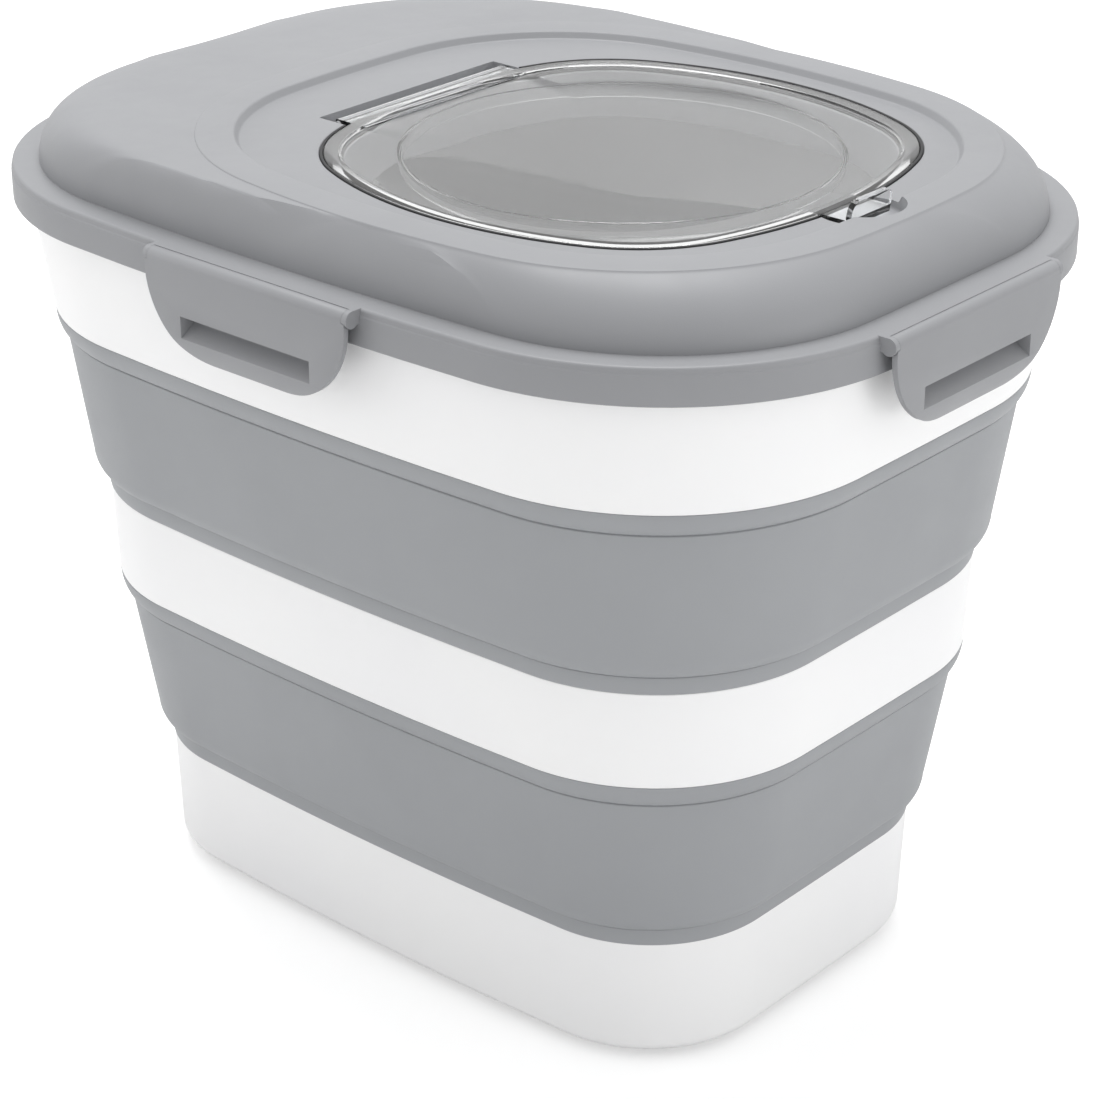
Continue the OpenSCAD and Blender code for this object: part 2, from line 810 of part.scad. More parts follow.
module along_y(length) {
    translate([0, length / 2, skirt_z])
        rotate([90, 0, 0])
            linear_extrude(length)
                children();
}

// Room for a lug at a latch's end
module lug_notch() {
    translate([pivot_out, roll_length / 2, pivot_z])
        rotate([-90, 0, 0])
            cylinder(r = roll_radius + roll_play, h = lug_width + 1, $fn = round_fn);
}

// The flap with its curved lower edge, its upper corners cleared for the lugs
module flap() {
    difference() {
        intersection() {
            along_y(latch_width) latch_section();
            translate([0, 0, skirt_z])
                rotate([90, 0, 90])
                    translate([0, 0, latch_proud + flap_over - flap_reach])
                        linear_extrude(flap_reach) latch_outline();
        }
        for (t = [0, 1]) mirror([0, t, 0]) lug_notch();
    }
}

module latch() {
    pin = 2 * (lug_end - lug_skin) - 0.6;
    color(lid_grey)
    difference() {
        union() {
            flap();
            along_y(pocket_width + 2 * catch_wall) wedge_section(catch_wall);
            translate([pivot_out, 0, pivot_z])
                rotate([90, 0, 0]) cylinder(r = stub_radius, h = pin, center = true, $fn = round_fn);
        }
        along_y(pocket_width) wedge_section(0);
    }
}

module latch_right() { translate([rim_width / 2, 0, 0]) latch(); }
module latch_back() { translate([0, rim_length / 2, 0]) rotate(90) latch(); }
module latch_left() { translate([-rim_width / 2, 0, 0]) rotate(180) latch(); }
module latch_front() { translate([0, -rim_length / 2, 0]) rotate(-90) latch(); }

// ---- rollers ----

module roller(x, y) {
    r = roller_diameter / 2;
    s = stub_diameter / 2;
    half = roller_width / 2;
    tip = half + stub_length;
    edge = 0.6;
    color(black)
    translate([x, y, roller_z])
        rotate([0, 90, 0])
            rotate_extrude($fn = 96)
                polygon([[0, -tip], [s - edge, -tip], [s, -tip + edge], [s, -half],
                         [r - edge, -half], [r, -half + edge], [r, half - edge],
                         [r - edge, half], [s, half], [s, tip - edge], [s - edge, tip],
                         [0, tip]]);
}

base_tub();
lower_bellows();
middle_ring();
upper_bellows();
top_ring();
lid_shell();
lid_seal();
window_seal();
flip_window();
latch_front();
latch_back();
latch_left();
latch_right();
roller(-roller_x, -roller_y);  // roller_front_left
roller(roller_x, -roller_y);  // roller_front_right
roller(-roller_x, roller_y);  // roller_back_left
roller(roller_x, roller_y);  // roller_back_right
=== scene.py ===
# %% [markdown]
# # A folding storage bin with a flip window, dressed in Blender
# The bin is a stack of hard white rings and soft grey bands under a domed lid.
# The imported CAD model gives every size, joint and position. Each cell below
# makes one piece of the object as a smooth mesh in the same place, so that it
# can follow its body when the bin folds, the window opens or a roller turns.

# %% Load the CAD frame
import math
import bmesh
import bpy
import numpy as np
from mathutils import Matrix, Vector


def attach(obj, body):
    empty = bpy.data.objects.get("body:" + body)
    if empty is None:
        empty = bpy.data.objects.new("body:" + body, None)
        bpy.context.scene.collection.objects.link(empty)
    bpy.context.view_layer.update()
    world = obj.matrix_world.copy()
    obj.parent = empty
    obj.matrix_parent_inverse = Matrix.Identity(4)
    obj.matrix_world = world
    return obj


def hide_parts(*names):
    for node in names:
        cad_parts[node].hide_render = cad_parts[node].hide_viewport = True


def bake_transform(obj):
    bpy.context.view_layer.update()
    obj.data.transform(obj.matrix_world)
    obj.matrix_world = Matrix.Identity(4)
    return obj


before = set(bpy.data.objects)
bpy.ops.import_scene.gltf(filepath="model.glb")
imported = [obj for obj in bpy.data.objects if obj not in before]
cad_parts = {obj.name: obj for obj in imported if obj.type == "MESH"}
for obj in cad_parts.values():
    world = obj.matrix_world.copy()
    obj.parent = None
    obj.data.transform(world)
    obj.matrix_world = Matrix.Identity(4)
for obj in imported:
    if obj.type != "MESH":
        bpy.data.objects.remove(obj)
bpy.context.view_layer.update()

MM = 0.001

# %% [markdown]
# ## Sizes shared by all pieces
# Seen from above, the bin isn't a rectangle or an ellipse. Its sides bow gently
# and run into round corners. Such an outline is easy to keep as numbers: four
# bows and four corner arcs that meet without a kink. Every ring of the bin is
# this outline drawn in by a known inset, at a known height.

# %% Heights and insets, in millimetres
HALF_X, HALF_Y = 148, 200
SKIRT_Z, LEDGE_Z, RING_Z, DECK_Z, SHELF_Z = 293.5, 307.5, 330.7, 327.7, 324.5
TOP_Z, MIDDLE_TOP_Z, MIDDLE_Z, TUB_TOP_Z, TUB_Z = 248.5, 171.0, 132.0, 54.0, 4.0
TOP_IN, TOP_FOOT_IN, MIDDLE_IN, MIDDLE_FOOT_IN = 6.3, 13.2, 30.5, 32.1
TUB_IN, TUB_FOOT_IN = 50.6, 52.3
WALL, BAND_WALL, LID_WALL = 2.6, 2.2, 2.5
LEDGE_WIDTH, SKIRT_EDGE = 11.0, 2.6
print("lid rises", RING_Z - LEDGE_Z, "mm above its ledge")

# %% The outline with its four bows
def outline(half_x, half_y, corner, side, end, shift):
    """Centres and radii of the arcs of one outline."""
    s, e = np.array([half_x - side, 0.0]), np.array([0.0, half_y - end])
    span = np.linalg.norm(e - s)
    along = (e - s) / span
    t = ((side - corner) ** 2 - (end - corner) ** 2 + span ** 2) / (2 * span)
    h = math.sqrt((side - corner) ** 2 - t * t)
    c = s + t * along + h * np.array([-along[1], along[0]])
    return {"side": (s, side), "end": (e, end), "corner": (c, corner), "shift": shift,
            "side_angle": math.atan2(c[1], c[0] - s[0]), "end_angle": math.atan2(c[0], c[1] - e[1])}


RIM = outline(HALF_X, HALF_Y, 105, 1900, 6000, 0)
PLATEAU = outline(130, 143, 98, 400, 600, -32)
RECESS = outline(105, 103, 60, 150, 170, -44.5)
print("rim corner centre, mm:", RIM["corner"][0].round(1))

# %% Rings of points round an outline
PER_QUARTER = 44
_t = np.arange(PER_QUARTER) / PER_QUARTER
_quarter = math.pi / 2 * _t * _t * (3 - 2 * _t)
DIRECTIONS = np.concatenate([_quarter + q * math.pi / 2 for q in range(4)])


def ring(plan, inset, z):
    """Points of the outline drawn in by inset, one for each outward direction."""
    w = DIRECTIONS
    m = np.arctan2(np.abs(np.sin(w)), np.abs(np.cos(w)))
    by_side = m <= plan["side_angle"]
    by_end = m >= math.pi / 2 - plan["end_angle"]
    (s, rs), (e, re), (c, rc) = plan["side"], plan["end"], plan["corner"]
    cx = np.where(by_side, s[0], np.where(by_end, e[0], c[0]))
    cy = np.where(by_side, s[1], np.where(by_end, e[1], c[1]))
    r = np.where(by_side, rs, np.where(by_end, re, rc)) - inset
    sx, sy = np.sign(np.cos(w)), np.sign(np.sin(w))
    sx[np.abs(np.cos(w)) < 1e-9] = 1
    sy[np.abs(np.sin(w)) < 1e-9] = 1
    x, y = sx * (cx + r * np.cos(m)), sy * (cy + r * np.sin(m)) + plan["shift"]
    return np.column_stack([x, y, np.full(len(w), float(z))])


def stack(plan, section):
    """One ring for each (inset, height) corner of a section."""
    return [ring(plan, d, z) for d, z in section]


print("points in a ring:", len(DIRECTIONS))

# %% [markdown]
# ## Three small mesh tools
# Moulded plastic has no razor edges. So a section is drawn as corners, each
# with its own radius, and one helper turns the corners into small arcs. A
# second helper joins rings of points into a skin of quads. A third runs a
# Boolean and applies it, for holes that don't follow the outline.

# %% Round the corners of a section
def rounded(corners, closed=True, steps=4):
    """Corners are (x, z) or (x, z, radius); each radius becomes an arc."""
    out, n = [], len(corners)
    for i, corner in enumerate(corners):
        p = np.array(corner[:2], float)
        r = corner[2] if len(corner) > 2 else 0
        if r <= 0 or (not closed and i in (0, n - 1)):
            out.append(tuple(p))
            continue
        a, b = np.array(corners[i - 1][:2], float), np.array(corners[(i + 1) % n][:2], float)
        la, lb = np.linalg.norm(a - p), np.linalg.norm(b - p)
        u, v = (a - p) / la, (b - p) / lb
        half = math.acos(max(-1.0, min(1.0, float(u @ v)))) / 2
        reach = min(r / math.tan(half), 0.48 * la, 0.48 * lb)
        r = reach * math.tan(half)
        centre = p + (u + v) / np.linalg.norm(u + v) * (r / math.sin(half))
        first = p + u * reach - centre
        turn = math.pi - 2 * half
        way = 1 if u[0] * v[1] - u[1] * v[0] < 0 else -1
        for k in range(steps + 1):
            a_ = way * turn * k / steps
            out.append((centre[0] + first[0] * math.cos(a_) - first[1] * math.sin(a_),
                        centre[1] + first[0] * math.sin(a_) + first[1] * math.cos(a_)))
    return out


def arc(x, z, radius, start, end, steps=16):
    """Points of an arc, from one angle to another in degrees."""
    angles = [math.radians(start + (end - start) * k / steps) for k in range(steps + 1)]
    return [(x + radius * math.cos(a), z + radius * math.sin(a)) for a in angles]


_square = rounded([(0, 0, 1), (9, 0, 1), (9, 9, 1), (0, 9, 1)])
print("a square with round corners has", len(_square), "points")

# %% Make an object from points and faces
def make_piece(name, verts, faces, crease=32):
    """Points in mm and faces become a mesh with smooth shading and crisp creases."""
    mesh = bpy.data.meshes.new(name)
    mesh.from_pydata([tuple(float(c) * MM for c in v) for v in verts], [], faces)
    bm = bmesh.new()
    bm.from_mesh(mesh)
    bmesh.ops.remove_doubles(bm, verts=bm.verts, dist=1e-7)
    bmesh.ops.recalc_face_normals(bm, faces=bm.faces)
    bm.to_mesh(mesh)
    bm.free()
    piece = bpy.data.objects.new(name, mesh)
    bpy.context.scene.collection.objects.link(piece)
    smooth(piece, crease)
    return piece


def smooth(piece, crease=32):
    """Smooth shading, except at edges sharper than the crease, in degrees."""
    piece.data.shade_smooth()
    piece.data.set_sharp_from_angle(angle=math.radians(crease))


def skin(name, rings, closed=True, caps=False, crease=32):
    """Joins rings of equal length into a skin of quads."""
    n, m = len(rings[0]), len(rings)
    faces = []
    for i in range(m if closed else m - 1):
        i2 = (i + 1) % m
        for j in range(n):
            k = (j + 1) % n
            faces.append((i * n + j, i * n + k, i2 * n + k, i2 * n + j))
    if caps:
        faces.append(tuple(range(n)))
        faces.append(tuple((m - 1) * n + j for j in range(n)))
    return make_piece(name, np.concatenate(rings), faces, crease)


def swept(name, plan, section, **how):
    """A section of (inset, height) corners swept round an outline."""
    return skin(name, stack(plan, section), **how)


# %% Prisms, lathes and Booleans
def prism(name, outline_2d, length, place, crease=32):
    """A flat outline pulled along its third axis; place turns (a, b, along) into (x, y, z)."""
    n = len(outline_2d)
    verts = [place(a, b, t) for t in (-length / 2, length / 2) for a, b in outline_2d]
    faces = [tuple(range(n)), tuple(range(n, 2 * n))]
    faces += [(i, (i + 1) % n, (i + 1) % n + n, i + n) for i in range(n)]
    return make_piece(name, verts, faces, crease)


def lathe(name, section, place, around=96, crease=32):
    """A closed section of (radius, along) turned about its axis."""
    n = len(section)
    verts = [place(r * math.cos(a), r * math.sin(a), t)
             for a in (2 * math.pi * k / around for k in range(around)) for r, t in section]
    faces = []
    for k in range(around):
        here, ahead = k * n, ((k + 1) % around) * n
        faces += [(here + i, here + (i + 1) % n, ahead + (i + 1) % n, ahead + i) for i in range(n)]
    return make_piece(name, verts, faces, crease)


def apply_modifiers(piece):
    """Gives a piece the mesh that its modifiers make of it."""
    graph = bpy.context.evaluated_depsgraph_get()
    mesh = bpy.data.meshes.new_from_object(piece.evaluated_get(graph))
    piece.modifiers.clear()
    piece.data = mesh
    return piece


def combine(piece, others, how):
    """Adds or cuts other pieces, which are used up."""
    for other in others:
        step = piece.modifiers.new(how.lower(), "BOOLEAN")
        step.operation, step.solver, step.object = how, "EXACT", other
    apply_modifiers(piece)
    for other in others:
        bpy.data.objects.remove(other)
    smooth(piece)
    return piece


def soften(piece, width, angle=40, segments=3):
    """Small bevels on the sharp edges, as in a mould."""
    bevel = piece.modifiers.new("edges", "BEVEL")
    bevel.width, bevel.segments = width * MM, segments
    bevel.limit_method, bevel.angle_limit = "ANGLE", math.radians(angle)
    bevel.harden_normals = False
    apply_modifiers(piece)
    smooth(piece)
    return piece


print("mesh tools ready")

# %% [markdown]
# ## The moulded surface, as one shader group
# Moulded plastic and rubber look flat from far away, but close up they have a
# fine spark-eroded grain, slow changes of shade where the melt cooled at
# different speeds, and a slightly uneven gloss from handling. All of the bin's
# materials have this effect, each with its own strength. So it is one node
# group: numbers go in, and a colour, a roughness and a height come out.

# %% Shader group: moulded surface
def moulded_surface():
    group = bpy.data.node_groups.new("moulded surface", "ShaderNodeTree")
    face = group.interface
    for name, kind, value in (("Colour", "NodeSocketColor", (0.5, 0.5, 0.5, 1)),
                              ("Deep colour", "NodeSocketColor", (0.4, 0.4, 0.4, 1)),
                              ("Grain size", "NodeSocketFloat", 2500.0),
                              ("Smoothest", "NodeSocketFloat", 0.3),
                              ("Roughest", "NodeSocketFloat", 0.5)):
        socket = face.new_socket(name, in_out="INPUT", socket_type=kind)
        socket.default_value = value
    for name, kind in (("Colour", "NodeSocketColor"), ("Roughness", "NodeSocketFloat"),
                       ("Height", "NodeSocketFloat")):
        face.new_socket(name, in_out="OUTPUT", socket_type=kind)
    n, link = group.nodes, group.links.new
    inp, out = n.new("NodeGroupInput"), n.new("NodeGroupOutput")
    where = n.new("ShaderNodeTexCoord")
    cloud = n.new("ShaderNodeTexNoise")
    cloud.inputs["Scale"].default_value = 9
    cloud.inputs["Detail"].default_value = 3
    link(where.outputs["Object"], cloud.inputs["Vector"])
    shade = n.new("ShaderNodeMix")
    shade.data_type = "RGBA"
    ramp = n.new("ShaderNodeMapRange")
    ramp.inputs["From Min"].default_value, ramp.inputs["From Max"].default_value = 0.35, 0.7
    link(cloud.outputs["Fac"], ramp.inputs["Value"])
    link(ramp.outputs["Result"], shade.inputs["Factor"])
    link(inp.outputs["Colour"], shade.inputs["A"])
    link(inp.outputs["Deep colour"], shade.inputs["B"])
    link(shade.outputs["Result"], out.inputs["Colour"])
    handled = n.new("ShaderNodeTexNoise")
    handled.inputs["Scale"].default_value = 38
    handled.inputs["Detail"].default_value = 5
    handled.inputs["Roughness"].default_value = 0.65
    link(where.outputs["Object"], handled.inputs["Vector"])
    gloss = n.new("ShaderNodeMapRange")
    gloss.inputs["From Min"].default_value, gloss.inputs["From Max"].default_value = 0.3, 0.75
    link(handled.outputs["Fac"], gloss.inputs["Value"])
    link(inp.outputs["Smoothest"], gloss.inputs["To Min"])
    link(inp.outputs["Roughest"], gloss.inputs["To Max"])
    link(gloss.outputs["Result"], out.inputs["Roughness"])
    grain = n.new("ShaderNodeTexNoise")
    grain.inputs["Detail"].default_value = 2
    link(where.outputs["Object"], grain.inputs["Vector"])
    link(inp.outputs["Grain size"], grain.inputs["Scale"])
    link(grain.outputs["Fac"], out.inputs["Height"])
    return group


SURFACE = moulded_surface()
print("group sockets:", [s.name for s in SURFACE.interface.items_tree])

# %% Materials from that group
def srgb(*values):
    """Screen values 0 to 255 as linear colour."""
    linear = [(v / 255 / 12.92) if v <= 10 else ((v / 255 + 0.055) / 1.055) ** 2.4 for v in values]
    return (*linear, 1.0)


def moulded(name, colour, deep, grain, smoothest, roughest, bump, **constant):
    """A Principled material fed by the moulded surface group."""
    material = bpy.data.materials.new(name)
    material.use_nodes = True
    nodes, link = material.node_tree.nodes, material.node_tree.links.new
    shader = nodes["Principled BSDF"]
    surface = nodes.new("ShaderNodeGroup")
    surface.node_tree = SURFACE
    for socket, value in (("Colour", colour), ("Deep colour", deep), ("Grain size", grain),
                          ("Smoothest", smoothest), ("Roughest", roughest)):
        surface.inputs[socket].default_value = value
    height = nodes.new("ShaderNodeBump")
    height.inputs["Strength"].default_value = bump
    height.inputs["Distance"].default_value = 0.0002
    link(surface.outputs["Colour"], shader.inputs["Base Color"])
    link(surface.outputs["Roughness"], shader.inputs["Roughness"])
    link(surface.outputs["Height"], height.inputs["Height"])
    link(height.outputs["Normal"], shader.inputs["Normal"])
    for socket, value in constant.items():
        shader.inputs[socket.replace("_", " ")].default_value = value
    return material


WHITE = moulded("white polypropylene", srgb(244, 244, 244), srgb(241, 241, 242), 1500,
                0.30, 0.42, 0.06, IOR=1.49)
LID_GREY = moulded("light grey lid plastic", srgb(147, 148, 151), srgb(143, 144, 147), 2200,
                   0.42, 0.54, 0.12, IOR=1.49)
BAND_GREY = moulded("soft grey rubber", srgb(155, 157, 160), srgb(151, 153, 156), 2800,
                    0.46, 0.58, 0.15, IOR=1.45)
# Black of both seals. On the ring round the window it is also painted shade, standing in for the
# shadow line in the gap.
SEAL_BLACK_AND_GAP_SHADE = moulded("black seal rubber and painted gap shade", srgb(34, 34, 36), srgb(26, 26, 28), 3000,
                     0.5, 0.65, 0.2, IOR=1.45)
ROLLER_BLACK = moulded("black roller plastic", srgb(22, 22, 23), srgb(16, 16, 17), 1800,
                       0.28, 0.42, 0.1, IOR=1.5)
print("materials:", [m.name for m in (WHITE, LID_GREY, BAND_GREY, SEAL_BLACK_AND_GAP_SHADE, ROLLER_BLACK)])

# %% [markdown]
# ## Clear plastic
# The window is polished and clear. A glass-like shader with full transmission
# does this. Its roughness is low, with faint handling marks in it, and its
# colour is just off white, because the thick edges of clear styrene look
# darker than its faces. For shadow rays the material is transparent, so lamps
# light the inside of the bin through the window.

# %% Material: clear window
CLEAREST, HAZIEST = 0.015, 0.05
CLEAR = bpy.data.materials.new("clear window plastic")
CLEAR.use_nodes = True
_nodes, _link = CLEAR.node_tree.nodes, CLEAR.node_tree.links.new
_shader = _nodes["Principled BSDF"]
_shader.inputs["Base Color"].default_value = (0.985, 0.99, 0.99, 1)
_shader.inputs["Transmission Weight"].default_value = 1.0
_shader.inputs["IOR"].default_value = 1.49
_marks = _nodes.new("ShaderNodeTexNoise")
_marks.inputs["Scale"].default_value = 60
_marks.inputs["Detail"].default_value = 4
_where = _nodes.new("ShaderNodeTexCoord")
_link(_where.outputs["Object"], _marks.inputs["Vector"])
_haze = _nodes.new("ShaderNodeMapRange")
_haze.inputs["From Min"].default_value, _haze.inputs["From Max"].default_value = 0.4, 0.8
_haze.inputs["To Min"].default_value, _haze.inputs["To Max"].default_value = CLEAREST, HAZIEST
_link(_marks.outputs["Fac"], _haze.inputs["Value"])
_link(_haze.outputs["Result"], _shader.inputs["Roughness"])
_path, _clear, _mix = (_nodes.new("ShaderNode" + kind)
                       for kind in ("LightPath", "BsdfTransparent", "MixShader"))
_link(_path.outputs["Is Shadow Ray"], _mix.inputs["Fac"])
_link(_shader.outputs["BSDF"], _mix.inputs[1])
_link(_clear.outputs["BSDF"], _mix.inputs[2])
_link(_mix.outputs["Shader"], _nodes["Material Output"].inputs["Surface"])
print("window roughness from", CLEAREST, "to", HAZIEST)


# %% Dress a finished mesh
def dress(piece, material, body, slot_name, *nodes):
    """Gives a piece its material and its body, and hides the CAD nodes it stands for."""
    piece.data.materials.clear()
    piece.data.materials.append(material)
    if body:
        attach(piece, body)
    if nodes:
        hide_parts(*nodes)
    print(piece.name, len(piece.data.polygons), "faces")
    return piece


# %% [markdown]
# ## The tub
# The tub carries the load. It is a white cup with a rounded lower edge, and
# four housings in its floor take the rollers. The cup is a swept section with
# a cap inside and one below. The housings and the pockets don't follow the
# outline, so they are added and cut with Booleans.

# %% Tub cup
TUB_FLOOR, CAP_IN, INNER_R, OUTER_R = 3, 40, 4, 5
tub_section = rounded([
    (TUB_FOOT_IN + CAP_IN, TUB_Z + TUB_FLOOR), (TUB_FOOT_IN + WALL, TUB_Z + TUB_FLOOR, INNER_R),
    (TUB_IN + WALL, TUB_TOP_Z), (TUB_IN, TUB_TOP_Z), (TUB_FOOT_IN, TUB_Z, OUTER_R),
    (TUB_FOOT_IN + CAP_IN, TUB_Z)], closed=False, steps=8)
tub = swept("tub", RIM, tub_section, closed=False, caps=True)
print("tub cup faces:", len(tub.data.polygons))

# %% Roller housings and pockets
ROLLER_X, ROLLER_Y, ROLLER_Z, ROLLER_R = 60, 106, 12.5, 12.5
SEAT_R, POCKET_X, SEAT_X, POCKET_Y = 5.46, 18.2, 26.6, 13.8
HOUSING_WALL, HOUSING_FOOT, CUT_FROM, MOUTH_Y = 2.2, 4.5, 3, 5.15


def block(name, low, high):
    """A box between two corners, its upright edges rounded a little."""
    (x0, y0, z0), (x1, y1, z1) = low, high
    outline_2d = rounded([(x0, y0, 0.8), (x1, y0, 0.8), (x1, y1, 0.8), (x0, y1, 0.8)], steps=3)
    middle = (z0 + z1) / 2
    return prism(name, outline_2d, z1 - z0, lambda a, b, t: (a, b, middle + t))


def rod_x(name, x, y, z, radius, length, around=64):
    """A round rod along X, with its middle at (x, y, z)."""
    angles = [2 * math.pi * k / around for k in range(around)]
    circle = [(radius * math.cos(angle), radius * math.sin(angle)) for angle in angles]
    return prism(name, circle, length, lambda a, b, t: (x + t, y + a, z + b))


housings, pockets = [], []
for x in (-ROLLER_X, ROLLER_X):
    for y in (-ROLLER_Y, ROLLER_Y):
        w = HOUSING_WALL
        housings.append(block("housing", (x - POCKET_X / 2 - w, y - POCKET_Y - w, HOUSING_FOOT),
                              (x + POCKET_X / 2 + w, y + POCKET_Y + w, ROLLER_Z + POCKET_Y + w)))
        housings.append(block("seat", (x - SEAT_X / 2 - w, y - SEAT_R - w, HOUSING_FOOT),
                              (x + SEAT_X / 2 + w, y + SEAT_R + w, ROLLER_Z + SEAT_R + w)))
        pockets.append(block("pocket", (x - POCKET_X / 2, y - POCKET_Y, CUT_FROM),
                             (x + POCKET_X / 2, y + POCKET_Y, ROLLER_Z + POCKET_Y)))
        pockets.append(rod_x("bore", x, y, ROLLER_Z, SEAT_R, SEAT_X))
        pockets.append(block("mouth", (x - SEAT_X / 2, y - MOUTH_Y, CUT_FROM),
                             (x + SEAT_X / 2, y + MOUTH_Y, ROLLER_Z)))
combine(tub, housings, "UNION")
combine(tub, pockets, "DIFFERENCE")
dress(tub, WHITE, "base", "white_shell", "base_tub")

# %% [markdown]
# ## The hard rings
# The middle ring and the top ring stiffen the bin and keep its mouth open. A
# plain band would look cut from card, so each gets rounded edges. The top ring
# runs on up inside the lid, where a flange turns inwards under the lid's seal.

# %% Middle ring and top ring
middle_ring = swept("middle_ring_piece", RIM, rounded([
    (MIDDLE_IN, MIDDLE_TOP_Z, 0.5), (MIDDLE_FOOT_IN, MIDDLE_Z, 0.5),
    (MIDDLE_FOOT_IN + WALL, MIDDLE_Z, 0.5), (MIDDLE_IN + WALL, MIDDLE_TOP_Z, 0.5)]))
dress(middle_ring, WHITE, "middle", "white_shell", "middle_ring")

SEAL_THICK, SEAL_GAP = 1.9, 0.3
FLANGE_Z = LEDGE_Z - LID_WALL - SEAL_THICK - SEAL_GAP
top_ring = swept("top_ring_piece", RIM, rounded([
    (3.1, FLANGE_Z, 0.6), (3.1, FLANGE_Z - 2.8, 0.4), (5.7, FLANGE_Z - 2.8, 0.4), (TOP_IN, SKIRT_Z),
    (TOP_FOOT_IN, TOP_Z, 0.5), (TOP_FOOT_IN + WALL, TOP_Z, 0.5), (TOP_IN + WALL, SKIRT_Z),
    (5.7 + WALL, FLANGE_Z - 2.4, 0.2), (9.0, FLANGE_Z - 2.0, 0.3), (9.0, FLANGE_Z, 0.6)]))
print("top ring reaches", round(FLANGE_Z, 1), "mm")

# %% Catch beads on the top ring
SIDES = {"right": (HALF_X, 0, 0), "back": (0, HALF_Y, 90),
         "left": (-HALF_X, 0, 180), "front": (0, -HALF_Y, -90)}
BEAD_IN, BEAD_OUT, BEAD_LOW, BEAD_HIGH, BEAD_R, BEAD_LENGTH = -7.9, -2.6, 287.3, 291.5, 1.2, 67


def on_side(side):
    """Turns (outwards, along, z) into the frame for one side of the rim."""
    cx, cy, turn = SIDES[side]
    c, s = round(math.cos(math.radians(turn))), round(math.sin(math.radians(turn)))
    return lambda u, v, z: (cx + c * u - s * v, cy + s * u + c * v, z)


def along_side(side, name, section, length, middle=0.0, base=0.0):
    """A section of (outwards, height) pulled along one side of the rim."""
    place = on_side(side)
    return prism(name, section, length, lambda a, b, t: place(a, middle + t, base + b))


bead_section = rounded([(BEAD_IN, BEAD_LOW), (BEAD_OUT, BEAD_LOW, BEAD_R),
                        (BEAD_OUT, BEAD_HIGH, BEAD_R), (BEAD_IN, BEAD_HIGH)])
combine(top_ring, [along_side(side, "bead", bead_section, BEAD_LENGTH) for side in SIDES], "UNION")
dress(top_ring, WHITE, "top", "white_shell", "top_ring")

# %% [markdown]
# ## The soft bands
# The grey bands fold, so they are made of soft rubber. Each has a rolled lip
# above, a flat wall and a collar at the foot. Where the wall begins and where
# the collar begins, a fine rounded edge stands out and catches a thin line of
# light, which is what makes the bands look soft.

# %% Section of a band
def band_section(inset, z, step, height):
    """Corners of a band that steps inwards, from its top down to its foot."""
    lip, lip_in, foot, foot_in, collar, proud = 9.2, 3.9, 15.0, 6.0, 7.4, 0.9
    wall_foot = step - foot_in
    bends = [math.pi / 2 * k / 8 for k in range(1, 8)]
    outside = [(0, height, 0.5)]
    outside += [((lip_in + proud) * (1 - math.cos(a)), height - lip * math.sin(a)) for a in bends]
    outside += [(lip_in + proud, height - lip, 0.2), (lip_in, height - lip - 0.6, 0.5),
                (wall_foot, foot)]
    outside += [(wall_foot + (foot_in - 0.1) * (1 - math.cos(a)),
                 foot - (foot - collar - 0.2) * math.sin(a)) for a in bends]
    outside += [(step - 0.1, collar, 0.2), (step - 0.8, collar - 0.5, 0.5), (step - 0.4, 0, 0.6)]
    inner = ((step, 0), (step, collar - 0.5), (wall_foot + 0.4 * foot_in, 0.75 * foot),
             (wall_foot, foot + 1.0), (lip_in + proud, height - lip - 0.8),
             (0.45 * lip_in, height - 0.6 * lip), (0, height))
    inside = [(d + BAND_WALL, h) for d, h in inner]
    return [(inset + d, z + h) for d, h in rounded(outside + inside, steps=3)]


# %% Lower band and upper band
lower_band = swept("lower_band", RIM, band_section(MIDDLE_FOOT_IN, TUB_TOP_Z, 18.5, 78.0))
dress(lower_band, BAND_GREY, None, "soft_band", "lower_bellows")
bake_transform(lower_band)
upper_band = swept("upper_band", RIM, band_section(TOP_FOOT_IN, MIDDLE_TOP_Z, 17.3, 77.5))
dress(upper_band, BAND_GREY, None, "soft_band", "upper_bellows")
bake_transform(upper_band)

# %% [markdown]
# ## The lid
# The lid is one moulding: a skirt, a ledge, a dome, a flat ring, a deck that
# lies a little lower, and a recess with a throat for the window. It is lofted
# ring by ring. The dome runs between two different outlines, so its rings mix
# the two, and its height follows a curve that is steep at the foot and then
# levels off without a kink.

# %% Rings of the dome
SHOULDER, EXTRA_SHOULDER, PINCH_REACH, PINCH_SPREAD, HEAD_DROP = 42.0, 45, 36, 15, 0.5


def dome_rings(foot_in, foot_z, head_in, head_z, steps):
    """Rings from the flat ring's edge down to the ledge, mixed from two outlines."""
    foot, head = ring(RIM, foot_in, foot_z), ring(PLATEAU, head_in, head_z)
    reach = np.hypot(*(head - foot)[:, :2].T)
    # Where the dome narrows to about PINCH_REACH, a longer shoulder avoids a crease.
    shoulder = SHOULDER + EXTRA_SHOULDER * np.exp(-((reach - PINCH_REACH) / PINCH_SPREAD) ** 2)

    def rise(u):
        return np.sqrt(1 - (1 - np.minimum(u / shoulder, 1)) ** 3)

    mixed = []
    for k in range(steps, -1, -1):
        t = 1 - math.cos(math.pi / 2 * k / steps)
        points = foot * (1 - t) + head * t
        points[:, 2] = foot_z + (head_z - foot_z) * rise(t * reach) / rise(reach)
        mixed.append(points)
    return mixed


dome = dome_rings(LEDGE_WIDTH, LEDGE_Z, 0.0, RING_Z - HEAD_DROP, 26)
print("dome rings:", len(dome))

